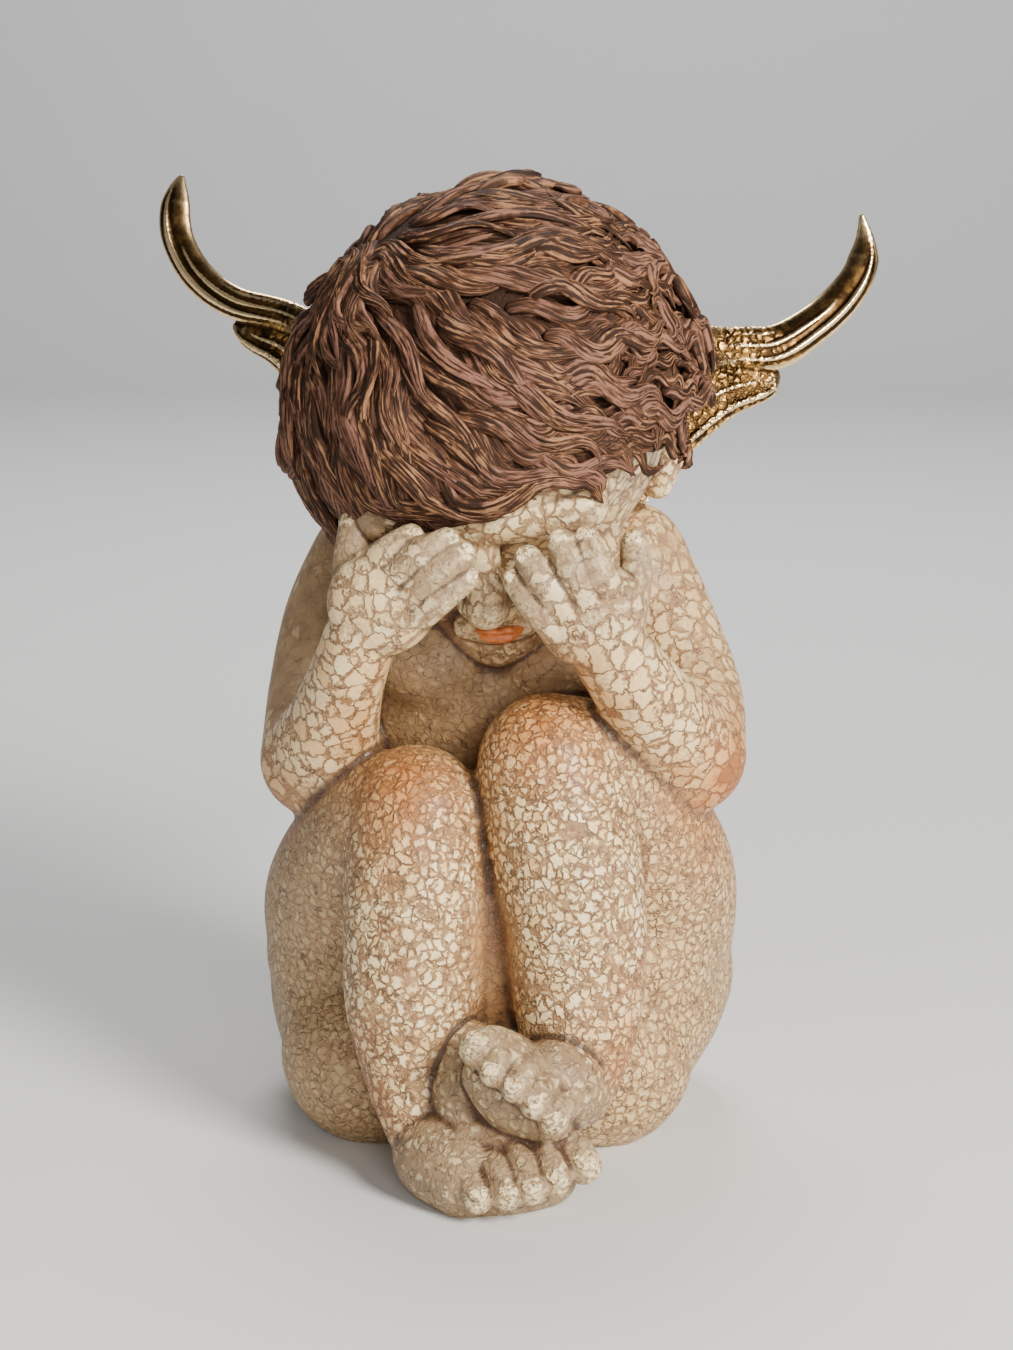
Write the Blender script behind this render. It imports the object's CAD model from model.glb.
"""Crouching putto that hides its eyes, in crackled cream paint over cast stone, with two gilded wings."""

import logging
import math
import random
from dataclasses import dataclass, field
from enum import Enum

import bpy
import numpy as np
from mathutils import Euler, Matrix, Vector, noise


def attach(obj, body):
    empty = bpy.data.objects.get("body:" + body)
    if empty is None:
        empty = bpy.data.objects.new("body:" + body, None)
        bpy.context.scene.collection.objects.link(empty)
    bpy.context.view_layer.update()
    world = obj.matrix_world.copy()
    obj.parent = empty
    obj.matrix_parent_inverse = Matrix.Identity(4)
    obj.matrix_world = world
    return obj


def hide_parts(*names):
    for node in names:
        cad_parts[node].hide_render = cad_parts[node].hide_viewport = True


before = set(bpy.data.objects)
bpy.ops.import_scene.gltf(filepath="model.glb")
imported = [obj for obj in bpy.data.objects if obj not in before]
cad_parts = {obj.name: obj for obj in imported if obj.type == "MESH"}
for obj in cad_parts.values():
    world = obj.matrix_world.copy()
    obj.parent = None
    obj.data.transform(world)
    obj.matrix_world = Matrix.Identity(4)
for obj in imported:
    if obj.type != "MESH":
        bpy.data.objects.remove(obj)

LOG = logging.getLogger("putto")
MM = 0.001  # all shapes are worked out in millimetres of a figure 240 mm high
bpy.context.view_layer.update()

# The head's middle, how far it is bowed and rolled in degrees, and the scalp's half sizes.
HEAD_CENTRE = (-1.0, -13.0, 185.0)
HEAD_BOW = 28.0
HEAD_ROLL = 4.0
SCALP = (48.5, 52.0, 49.0)
SCALP_RADIUS = 50.0  # of a ball about as large, for the spacing of the locks
WHORL = (-29.5, 5.7, 42.6)
# Lowest angle of the hair by the angle round the head, both in degrees, 0 being straight ahead.
HAIRLINE = (
    (-180, -48), (-125, -32), (-90, -13), (-66, -11), (-48, -2), (-25, 7), (0, 11),
    (25, 10), (48, 3), (66, -5), (90, -11), (115, -26), (180, -48),
)

# Stations of each limb: x, y, z and radius. The figure faces -y.
LIMBS = {
    "right_thigh": ((-31, 2, 40, 30), (-34, -16, 58, 26.5), (-27, -37, 79, 20), (-17.5, -49, 88.5, 16.5)),
    "right_shin": (
        (-16.7, -51, 88, 16.8), (-16.7, -54, 72, 17.8), (-16.9, -57, 54, 17.6), (-17.4, -60, 40, 16),
        (-17, -63, 27, 12), (-14, -67, 15, 9.5),
    ),
    "right_ham": ((-27.5, 2, 34, 36), (-29, -14, 27.5, 31), (-30, -27, 21, 25)),
    "left_ham": ((27, 2, 35, 34), (27, -14, 29, 30), (26.5, -26, 21, 24.5)),
    "left_thigh": ((31, 2, 42, 29), (35, -16, 66, 25.5), (26, -37, 93, 19.5), (15, -50, 102, 16.5)),
    "left_shin": (
        (14.7, -51, 101, 17), (18.6, -54, 84, 18), (21.8, -56.5, 67, 17.5), (23, -59, 46, 16),
        (22, -63, 31, 13), (19, -68, 26, 11),
    ),
    "right_arm": ((-35, 8, 142, 16), (-42.5, 4, 127, 15.2), (-46, -8, 110, 14), (-43.8, -27, 97, 15.2)),
    "right_forearm": (
        (-43.8, -29, 97, 15.2), (-39.8, -39, 105, 12.6), (-35.8, -48, 115.5, 10.3), (-31.8, -56, 126, 9.2),
        (-28.5, -60, 134, 9),
    ),
    "left_arm": ((32, 8, 143, 15.5), (39.5, 4, 128, 15), (47.3, -8, 111, 14.5), (47.6, -27, 99.5, 15.4)),
    "left_forearm": (
        (47.8, -28, 99.5, 15.4), (43.5, -39, 107.5, 13.2), (38, -50, 117.5, 11.2), (32.8, -57, 126, 10),
        (29.5, -61, 132, 9.5),
    ),
    "shoulders": ((-31, 7, 140, 16), (0, 9, 144, 20), (31, 7, 140, 16)),
    "neck": ((0, 6, 140, 21), (0, -10, 160, 22)),
}
# Masses of the body: middle, half sizes and bow in degrees.
MASSES = {
    "pelvis": ((0, 4, 38), (46, 38, 40), 0),
    "right_seat": ((-27, 4, 34), (35, 39, 38), 0),
    "left_seat": ((26, 5, 35), (33, 38, 38), 0),
    "right_flank": ((-32, -10, 43), (29, 32, 24), 0),
    "left_flank": ((30, -10, 46), (28, 32, 24), 0),
    "right_side": ((-33.5, -14, 47), (26, 27, 31), 0),
    "left_side": ((31, -14, 50), (26, 27, 33), 0),
    "right_hip": ((-32.5, -20, 32), (24, 24, 20), 0),
    "between_shins": ((2.5, -47, 58), (11, 14, 34), 0),
    "belly": ((0, -8, 70), (38, 34, 34), 0),
    "ribs": ((0, 0, 108), (40, 33, 36), 12),
    "back": ((0, 12, 120), (35, 26, 34), 18),
    "right_breast": ((-15, -25, 122), (16, 11, 13), 0),
    "left_breast": ((16, -25, 122), (16, 11, 13), 0),
}
# Masses and features of the head, on the head's own axes.
FACE_MASSES = {
    "skull": ((0, 0, 2), (44, 51, 45)),
    "jaw": ((0, 16, -25), (31, 31, 27)),
    "right_cheek": ((-16, 29, -28), (16, 16, 15)),
    "left_cheek": ((16, 29, -28), (16, 16, 15)),
    "chin": ((0, 38, -41), (17, 10.5, 11.5)),
    "forehead": ((0, 27, 4), (37, 27, 25)),
}
FEATURES = {
    "brow": ((-24, 45, -2, 6.5), (0, 49.5, -1, 6.5), (24, 45, -2, 6.5)),
    "nose": ((0, 51, -6, 4), (0, 54.5, -15, 4.4), (0, 57.5, -21.5, 5.2)),
    "right_nostril": ((-4.6, 53.5, -23, 3.2), (-3.4, 55, -23.8, 3)),
    "left_nostril": ((4.6, 53.5, -23, 3.2), (3.4, 55, -23.8, 3)),
    "mouth": ((-7.5, 46.5, -34.5, 3.2), (0, 48, -34.8, 3.6), (7.5, 46.5, -34.5, 3.2)),
    "right_ear": ((-40, 0, -12, 4.5), (-41, -3, -19, 5.5), (-39, 1, -26, 4)),
    "left_ear": ((40, 0, -12, 4.5), (41, -3, -19, 5.5), (39, 1, -26, 4)),
}
LIPS = {
    "upper": (
        (-5, 49.7, -33.4, 0.4), (-2, 51, -32.7, 1), (1, 51.3, -33, 0.9), (4, 51, -32.7, 1),
        (7, 49.7, -33.4, 0.4),
    ),
    "lower": (
        (-4.7, 49.5, -34, 0.4), (-1.6, 50.9, -34.9, 1.35), (3.6, 50.9, -34.9, 1.35), (6.7, 49.5, -34, 0.4),
    ),
}
# Palms: middle, half sizes along, across and through, and turn in degrees.
PALMS = {
    "right": ((-23, -64, 142.5), (14, 13, 7), 46),
    "left": ((25.5, -64.5, 140), (13, 13, 7), 112),
}
DIGITS = {
    "right_index": ((-26, -64, 150, 4.4), (-21, -66.5, 154.5, 3.9), (-16.3, -65.5, 157.4, 3.5)),
    "right_middle": ((-20.5, -66, 147.5, 4.4), (-14, -69, 153.5, 3.9), (-7.8, -67.5, 156.8, 3.5)),
    "right_ring": ((-16.5, -66.5, 143.5, 4.3), (-10, -70, 149.8, 3.8), (-4, -68.5, 154, 3.4)),
    "right_little": ((-14, -66, 139.5, 4), (-8, -69, 144.5, 3.6), (-3.2, -67.5, 148.3, 3.2)),
    "right_thumb": ((-31, -58, 140, 5), (-32, -54, 150, 4.3), (-31.5, -50.5, 158, 3.9)),
    "left_little": ((18, -66, 136, 4), (12.5, -69, 142.5, 3.6), (8.3, -67, 147.8, 3.2)),
    "left_ring": ((21.5, -66.5, 139.5, 4.3), (15.8, -70, 147, 3.8), (11.3, -68.3, 153.2, 3.4)),
    "left_middle": ((26, -66.5, 143, 4.4), (22, -70, 150.5, 3.9), (18.9, -68.3, 157, 3.4)),
    "left_index": ((30, -66, 145, 4.3), (27.3, -69.5, 151.5, 3.8), (24.8, -67, 157.3, 3.4)),
    "left_thumb": ((33.5, -61, 137, 5), (35.8, -59, 147, 4.1), (35.5, -56, 155.3, 3.6)),
}
SOLES = {
    "right": ((-12.5, -65, 10, 9.5), (-9, -74, 9.5, 11), (-2, -82, 7.5, 10)),
    "right_ball": ((-3, -82, 4.5, 7.5), (7, -81, 5.5, 7.5), (17, -78, 7, 7)),
    "left": ((21, -66, 26, 11.5), (18, -74, 29, 11), (13, -79, 30, 9)),
    "between_feet": ((-1, -75, 15, 8), (9, -76, 16, 8.5), (16, -74, 18, 8)),
    "between_ankles": ((-3, -67, 34, 7.5), (-3, -70, 24, 9), (0, -74, 14, 8)),
    "left_ball": ((2.5, -80, 32, 6), (7.5, -80.5, 26, 6.5), (17, -80.5, 21.5, 6)),
}
TOES = {
    "right_toe_5": ((-3.2, -82, 9, 4), (-0.6, -88, 9.5, 3.6), (1.6, -92.8, 6.6, 3.7)),
    "right_toe_4": ((1.8, -80, 11.5, 4), (5.6, -87.5, 11.8, 3.6), (8.4, -92.9, 7.7, 3.7)),
    "right_toe_3": ((7, -78, 13, 4), (11.2, -86, 13.2, 3.7), (13.8, -92, 8.9, 3.8)),
    "right_toe_2": ((12.2, -75.5, 14, 4), (16.8, -83.5, 14, 3.8), (19.3, -89.3, 10.3, 3.9)),
    "right_toe_1": ((17, -74, 13.5, 4.6), (22, -80, 15, 4.6), (25.6, -84.3, 12.2, 4.6)),
    "left_toe_1": ((9, -75, 36, 4.8), (4, -81, 40, 4.8), (0.8, -84.5, 40, 4.6)),
    "left_toe_2": ((12, -77, 35.5, 4), (7, -84.5, 38, 3.8), (5, -88, 35.8, 3.8)),
    "left_toe_3": ((15.2, -78, 33, 4), (11.8, -86, 35, 3.8), (10.2, -89.5, 32.6, 3.8)),
    "left_toe_4": ((18.6, -78.5, 29.5, 4), (16, -86.5, 31, 3.7), (14.6, -90, 28.9, 3.7)),
    "left_toe_5": ((21.8, -78, 25.5, 4), (20, -86, 27, 3.6), (18.8, -89.5, 25, 3.7)),
}
# Feathers of the wings: x, y, z and half breadth.
QUILLS = {
    "right_wing": (
        (-12, 22, 142, 6.5), (-27, 38, 166, 8), (-45, 49, 190, 7), (-62, 54, 202.5, 5), (-79, 58, 207, 4.9),
        (-89, 61, 213.5, 5), (-95, 64, 222, 4.9), (-97, 66, 230, 4.8), (-96.3, 68, 238, 4),
        (-95, 69, 242.3, 2.8),
    ),
    "left_wing": (
        (10, 22, 142, 6.5), (26, 40, 170, 8), (45, 52, 193, 6.5), (58, 55, 195, 6.5), (70, 57, 195.5, 6.6),
        (80.5, 61, 201.5, 5.8), (87.8, 64, 208, 5.5), (92.8, 66, 215.5, 4.9), (94.2, 68, 223.5, 4.2),
        (93, 69, 232, 2.9),
    ),
}
LOBES = {
    "right_wing": (
        (-14, 22, 134, 7), (-36, 42, 164, 9.5), (-60, 52, 191.5, 7.2), (-73, 56, 198.2, 5), (-80, 58, 201, 3),
    ),
    "left_wing": (
        (12, 22, 134, 7), (32, 44, 164, 9.5), (52, 52, 182, 8.8), (66, 56, 186.8, 6.6), (71.5, 58, 188.5, 4),
    ),
}

# Strokes of the hair as the front view of 1013 x 1350 shows them, from the crown outwards.
STROKES = (
    ((400, 205), (440, 200), (490, 200), (540, 208), (590, 218)),
    ((395, 225), (440, 224), (490, 222), (550, 225), (605, 232)),
    ((395, 242), (430, 240), (480, 236), (520, 240), (560, 234), (605, 222)),
    ((405, 256), (440, 258), (500, 252), (550, 246), (620, 245)),
    ((420, 266), (470, 276), (510, 278), (550, 268), (590, 258), (640, 262)),
    ((440, 285), (480, 295), (530, 288), (580, 278), (640, 284)),
    ((455, 302), (500, 306), (550, 300), (600, 298), (650, 296)),
    ((520, 300), (560, 318), (600, 316), (640, 300), (655, 282)),
    ((525, 326), (560, 335), (600, 330), (640, 312), (665, 300)),
    ((498, 330), (512, 352), (532, 372), (562, 380), (600, 378), (632, 360), (650, 335)),
    ((470, 350), (490, 376), (540, 392), (600, 392), (645, 378), (680, 350)),
    ((398, 262), (425, 290), (450, 318), (485, 334), (505, 356), (530, 382)),
    ((380, 264), (400, 290), (420, 322), (450, 348), (480, 376), (520, 390), (580, 392), (620, 386)),
    ((430, 340), (446, 372), (475, 396), (505, 405), (560, 402), (620, 402), (700, 385)),
    ((395, 330), (406, 362), (425, 392), (455, 412), (500, 420), (560, 415), (640, 410), (700, 400)),
    ((470, 425), (500, 447), (530, 450), (570, 444), (620, 460), (660, 455), (700, 430)),
    ((388, 398), (408, 440), (430, 470), (452, 490), (482, 500), (522, 503)),
    ((420, 428), (445, 460), (480, 485), (515, 496)),
    ((450, 428), (478, 464), (503, 480), (530, 476)),
    ((350, 405), (370, 440), (390, 470), (412, 495)),
    ((370, 225), (350, 240), (330, 265), (315, 300), (300, 340), (300, 380)),
    ((362, 275), (345, 308), (345, 340), (365, 365), (375, 390), (362, 402)),
    ((385, 328), (400, 360), (400, 390), (386, 405)),
    ((330, 368), (345, 410), (350, 450), (356, 482)),
    ((318, 340), (305, 372), (312, 404), (325, 440), (336, 470)),
)

def log_piece(piece: bpy.types.Object) -> None:
    """Reports a finished piece."""
    LOG.info("%s: %d faces", piece.name, len(piece.data.polygons))


class Slot(Enum):
    """The record's material slots."""

    CRACKLED_STONE = "crackled_stone"
    GILDING = "gilding"


@dataclass(frozen=True)
class View:
    """The camera of the front view, in millimetres and degrees."""

    azimuth: float = 4.5
    elevation: float = 10.0
    distance: float = 683.0
    aim: tuple[float, float, float] = (1.6, -8.5, 115.2)
    lens: float = 71.15
    width: int = 1013
    height: int = 1350

    def back(self) -> Vector:
        """The way from the aim to the camera."""
        turn, rise = math.radians(self.azimuth), math.radians(self.elevation)
        return Vector((math.sin(turn) * math.cos(rise), -math.cos(turn) * math.cos(rise), math.sin(rise)))

    def place(self) -> Vector:
        """The camera's place."""
        return Vector(self.aim) + self.back() * self.distance

    def ray(self, across: float, down: float) -> Vector:
        """The way in which the camera sees a place of the picture.

        Args:
            across: pixels from the left edge.
            down: pixels from the top edge.

        Returns:
            A unit vector that points away from the camera.
        """
        back = self.back()
        right = Vector((0, 0, 1)).cross(back).normalized()
        up = back.cross(right)
        reach = self.height * self.lens / 36.0
        way = right * (across - self.width / 2) + up * (self.height / 2 - down) - back * reach
        return way.normalized()

    def stand(self) -> None:
        """Sets up the camera of the scene."""
        data = bpy.data.cameras.new("front view")
        data.sensor_fit = "VERTICAL"
        data.sensor_height = 36.0
        data.lens = self.lens
        data.clip_start = 0.05
        camera = bpy.data.objects.new("front view", data)
        bpy.context.scene.collection.objects.link(camera)
        camera.location = self.place() * MM
        camera.rotation_mode = "QUATERNION"
        camera.rotation_quaternion = (-self.back()).to_track_quat("-Z", "Y")
        bpy.context.scene.camera = camera


def smooth_path(stations: tuple, count: int) -> np.ndarray:
    """Values along a smooth curve through the stations.

    Args:
        stations: rows of numbers, one for each station.
        count: how many rows are wanted.

    Returns:
        Rows at even shares of the way from the first station to the last.
    """
    rows = np.array(stations, float)
    last = len(rows) - 1
    place = np.linspace(0, last, count)
    start = np.minimum(place.astype(int), last - 1)
    t = (place - start)[:, None]
    a, b, c, d = (rows[np.clip(start + k, 0, last)] for k in (-1, 0, 1, 2))
    return 0.5 * (2 * b + (c - a) * t + (2 * a - 5 * b + 4 * c - d) * t**2 + (3 * b - a - 3 * c + d) * t**3)


def unit_rows(rows: np.ndarray) -> np.ndarray:
    """The rows brought to length 1."""
    return rows / np.maximum(np.linalg.norm(rows, axis=-1, keepdims=True), 1e-9)


class Bead:
    """A ball of rings and sides, modelled once, from which limbs, digits and locks are bent."""

    stock: dict[tuple[int, int], "Bead"] = {}

    def __init__(self, sides: int, rings: int) -> None:
        """Models the ball and reads its rings.

        Args:
            sides: corners of each ring.
            rings: bands from pole to pole.
        """
        bpy.ops.object.select_all(action="DESELECT")
        bpy.ops.mesh.primitive_uv_sphere_add(segments=sides, ring_count=rings, radius=1.0)
        ball = bpy.context.object
        mesh = ball.data
        self.points = np.empty(len(mesh.vertices) * 3)
        mesh.vertices.foreach_get("co", self.points)
        self.points = self.points.reshape(-1, 3)
        mesh.calc_loop_triangles()
        self.faces = np.empty(len(mesh.loop_triangles) * 3, int)
        mesh.loop_triangles.foreach_get("vertices", self.faces)
        self.faces = self.faces.reshape(-1, 3)
        self.ring = np.rint(np.arccos(np.clip(self.points[:, 2], -1, 1)) / math.pi * rings).astype(int)
        self.turn = np.arctan2(self.points[:, 1], self.points[:, 0])
        self.side = np.rint(self.turn / (2 * math.pi) * sides).astype(int) % sides
        self.reach = (np.hypot(self.points[:, 0], self.points[:, 1]) > 1e-6).astype(float)
        bpy.data.objects.remove(ball)
        bpy.data.meshes.remove(mesh)

    @classmethod
    def of(cls, sides: int, rings: int) -> "Bead":
        """The bead with that many sides and rings."""
        if (sides, rings) not in cls.stock:
            cls.stock[(sides, rings)] = cls(sides, rings)
        return cls.stock[(sides, rings)]

    def bent(self, centres: np.ndarray, side: np.ndarray, up: np.ndarray, profile: np.ndarray) -> np.ndarray:
        """The bead's points on a path.

        Args:
            centres: the middle of each ring.
            side: the half breadth of each ring, as a vector.
            up: the half height of each ring, as a vector.
            profile: across and up for each side of the bead, or for each ring and side.

        Returns:
            The bead's points, bent along the path.
        """
        spots = profile[self.side] if profile.ndim == 2 else profile[self.ring, self.side]
        across = (spots[:, 0] * self.reach)[:, None]
        height = (spots[:, 1] * self.reach)[:, None]
        return centres[self.ring] + side[self.ring] * across + up[self.ring] * height


def round_profile(sides: int) -> np.ndarray:
    """The corners of a round section."""
    turns = np.arange(sides) * 2 * math.pi / sides
    return np.stack([np.cos(turns), np.sin(turns)], axis=1)


@dataclass
class Clay:
    """Closed shapes in millimetres that become one mesh."""

    points: list[np.ndarray] = field(default_factory=list)
    faces: list[np.ndarray] = field(default_factory=list)
    marks: dict[str, list[np.ndarray]] = field(default_factory=dict)
    count: int = 0

    def press(self, points: np.ndarray, faces: np.ndarray, **marks: np.ndarray) -> None:
        """Adds one closed shape.

        Args:
            points: its points.
            faces: its triangles.
            **marks: values or vectors of its points, under the names that materials read.
        """
        self.points.append(points)
        self.faces.append(faces + self.count)
        self.count += len(points)
        for name, values in marks.items():
            self.marks.setdefault(name, []).append(values)

    def ball(self, centre: tuple, radii: tuple, turn: Matrix | None = None) -> None:
        """Adds an ellipsoid.

        Args:
            centre: its middle.
            radii: its three half sizes.
            turn: how it is turned, or None.
        """
        bead = Bead.of(32, 20)
        shape = bead.points * np.array(radii, float)
        if turn is not None:
            shape = shape @ np.array(turn.to_3x3()).T
        self.press(shape + np.array(centre, float), bead.faces)

    def limb(self, stations: tuple, steps: int = 24, sides: int = 32) -> None:
        """Adds a tapering round limb with ball ends.

        Args:
            stations: rows of x, y, z and radius.
            steps: bands along the limb.
            sides: corners around it.
        """
        rows = smooth_path(stations, steps + 1)
        centres, radii = rows[:, :3], rows[:, 3]
        ways = unit_rows(np.gradient(centres, axis=0))
        caps = 5
        turn = np.arange(caps, 0, -1) / caps * math.pi / 2
        first = centres[0] - ways[0] * radii[0] * np.sin(turn)[:, None]
        last = centres[-1] + ways[-1] * radii[-1] * np.sin(turn[::-1])[:, None]
        ways = np.concatenate([np.repeat(ways[:1], caps, 0), ways, np.repeat(ways[-1:], caps, 0)])
        centres = np.concatenate([first, centres, last])
        radii = np.concatenate([radii[0] * np.cos(turn), radii, radii[-1] * np.cos(turn[::-1])])
        side = np.array(Vector(ways[0]).orthogonal().normalized())
        sides_on = []
        for way in ways:
            side = side - way * side.dot(way)
            side = side / np.linalg.norm(side)
            sides_on.append(side)
        across = np.array(sides_on)
        up = np.cross(across, ways)
        bead = Bead.of(sides, len(centres) - 1)
        bent = bead.bent(centres, across * radii[:, None], up * radii[:, None], round_profile(sides))
        self.press(bent, bead.faces)

    def fired(self, name: str) -> bpy.types.Object:
        """Makes the clay one object.

        Args:
            name: the object's name.

        Returns:
            The object, with its marks as attributes.
        """
        points = np.concatenate(self.points) * MM
        mesh = bpy.data.meshes.new(name)
        mesh.from_pydata(points.tolist(), [], np.concatenate(self.faces).tolist())
        mesh.update()
        for mark, parts in self.marks.items():
            add_mark(mesh, mark, np.concatenate(parts))
        made = bpy.data.objects.new(name, mesh)
        bpy.context.scene.collection.objects.link(made)
        return made

    def take(self, piece: bpy.types.Object) -> None:
        """Adds the mesh of an object, which is then removed."""
        mesh = piece.data
        mesh.calc_loop_triangles()
        points = np.empty(len(mesh.vertices) * 3)
        mesh.vertices.foreach_get("co", points)
        faces = np.empty(len(mesh.loop_triangles) * 3, int)
        mesh.loop_triangles.foreach_get("vertices", faces)
        self.press(points.reshape(-1, 3) / MM, faces.reshape(-1, 3))
        bpy.data.objects.remove(piece)
        bpy.data.meshes.remove(mesh)


def add_mark(mesh: bpy.types.Mesh, name: str, values: np.ndarray) -> None:
    """Stores values or vectors of a mesh's points.

    Args:
        mesh: the mesh.
        name: the attribute's name.
        values: one value or one vector for each point.
    """
    vector = values.ndim == 2
    made = mesh.attributes.new(name, "FLOAT_VECTOR" if vector else "FLOAT", "POINT")
    made.data.foreach_set("vector" if vector else "value", values.astype(np.float32).ravel())


def worked(piece: bpy.types.Object, kind: str, **settings: object) -> bpy.types.Object:
    """Puts one modifier on a piece and applies it.

    Args:
        piece: the piece.
        kind: the modifier's type.
        **settings: the modifier's settings.

    Returns:
        The piece.
    """
    bpy.ops.object.select_all(action="DESELECT")
    piece.select_set(True)
    bpy.context.view_layer.objects.active = piece
    change = piece.modifiers.new(kind.title(), kind)
    for name, value in settings.items():
        setattr(change, name, value)
    bpy.ops.object.modifier_apply(modifier=change.name)
    return piece


def fused(clay: Clay, name: str, grain: float, rubbing: int) -> bpy.types.Object:
    """Presses overlapping shapes into one skin and rubs its creases soft.

    Args:
        clay: the shapes.
        name: the piece's name.
        grain: the size of the skin's faces in millimetres.
        rubbing: how often the skin is smoothed.

    Returns:
        The fused piece.
    """
    piece = worked(clay.fired(name), "REMESH", mode="VOXEL", voxel_size=grain * MM)
    if rubbing:
        worked(piece, "SMOOTH", factor=0.5, iterations=rubbing)
    return piece


def points_of(piece: bpy.types.Object) -> np.ndarray:
    """The points of a piece in millimetres."""
    points = np.empty(len(piece.data.vertices) * 3)
    piece.data.vertices.foreach_get("co", points)
    return points.reshape(-1, 3) / MM


def normals_of(piece: bpy.types.Object) -> np.ndarray:
    """The normals at the points of a piece."""
    normals = np.empty(len(piece.data.vertices) * 3)
    piece.data.vertices.foreach_get("normal", normals)
    return normals.reshape(-1, 3)


def hollows(piece: bpy.types.Object, rounds: int) -> np.ndarray:
    """How far each point lies below its surroundings.

    Args:
        piece: a piece with even faces.
        rounds: how wide the surroundings are.

    Returns:
        Millimetres, above 0 in a hollow and below 0 on a ridge.
    """
    mesh = piece.data
    edges = np.empty(len(mesh.edges) * 2, int)
    mesh.edges.foreach_get("vertices", edges)
    ends = edges.reshape(-1, 2)
    near = np.concatenate([ends[:, 0], ends[:, 1]])
    far = np.concatenate([ends[:, 1], ends[:, 0]])
    points = points_of(piece)
    total = np.maximum(np.bincount(near, minlength=len(points)), 1)
    soft = points.copy()
    for _ in range(rounds):
        soft = np.stack(
            [np.bincount(near, weights=soft[far, k], minlength=len(points)) / total for k in range(3)], axis=1
        )
    return ((soft - points) * normals_of(piece)).sum(axis=1)


class Head:
    """The head's own axes: x, forward and up."""

    def __init__(self) -> None:
        """Works out how the head is bowed and rolled."""
        axes = Matrix(((1, 0, 0), (0, -1, 0), (0, 0, 1))).to_4x4()
        bow = Euler((math.radians(HEAD_BOW), 0, 0)).to_matrix().to_4x4()
        roll = Euler((0, math.radians(-HEAD_ROLL), 0)).to_matrix().to_4x4()
        self.matrix = Matrix.Translation(HEAD_CENTRE) @ bow @ roll @ axes
        self.turn = np.array(self.matrix.to_3x3())

    def stations(self, rows: tuple) -> list[tuple]:
        """Stations of the head's own axes, brought into the pose."""
        return [(*(self.matrix @ Vector(row[:3])), row[3]) for row in rows]

    def placed(self, points: np.ndarray) -> np.ndarray:
        """Points of the head's own axes, brought into the pose."""
        return points @ self.turn.T + np.array(self.matrix.translation)

    def seen(self, view: View, across: float, down: float) -> Vector | None:
        """Where the camera sees the scalp.

        Args:
            view: the camera.
            across: pixels from the left edge of the picture.
            down: pixels from its top edge.

        Returns:
            The place as a direction from the head's middle, or None beside the head.
        """
        back = self.matrix.inverted()
        radii = Vector(SCALP)
        eye = back @ view.place()
        way = back.to_3x3() @ view.ray(across, down)
        eye = Vector(e / r for e, r in zip(eye, radii))
        way = Vector(w / r for w, r in zip(way, radii))
        half = eye.dot(way)
        rest = half * half - way.dot(way) * (eye.dot(eye) - 1.02)
        if rest < 0:
            return None
        return (eye + way * ((-half - math.sqrt(rest)) / way.dot(way))).normalized()


@dataclass(frozen=True)
class Layer:
    """One layer of locks, in millimetres."""

    name: str
    spacing: float
    half_width: float
    flatness: float
    low: float
    high: float
    length: float
    strands: int
    sides: int
    rings: int


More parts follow.
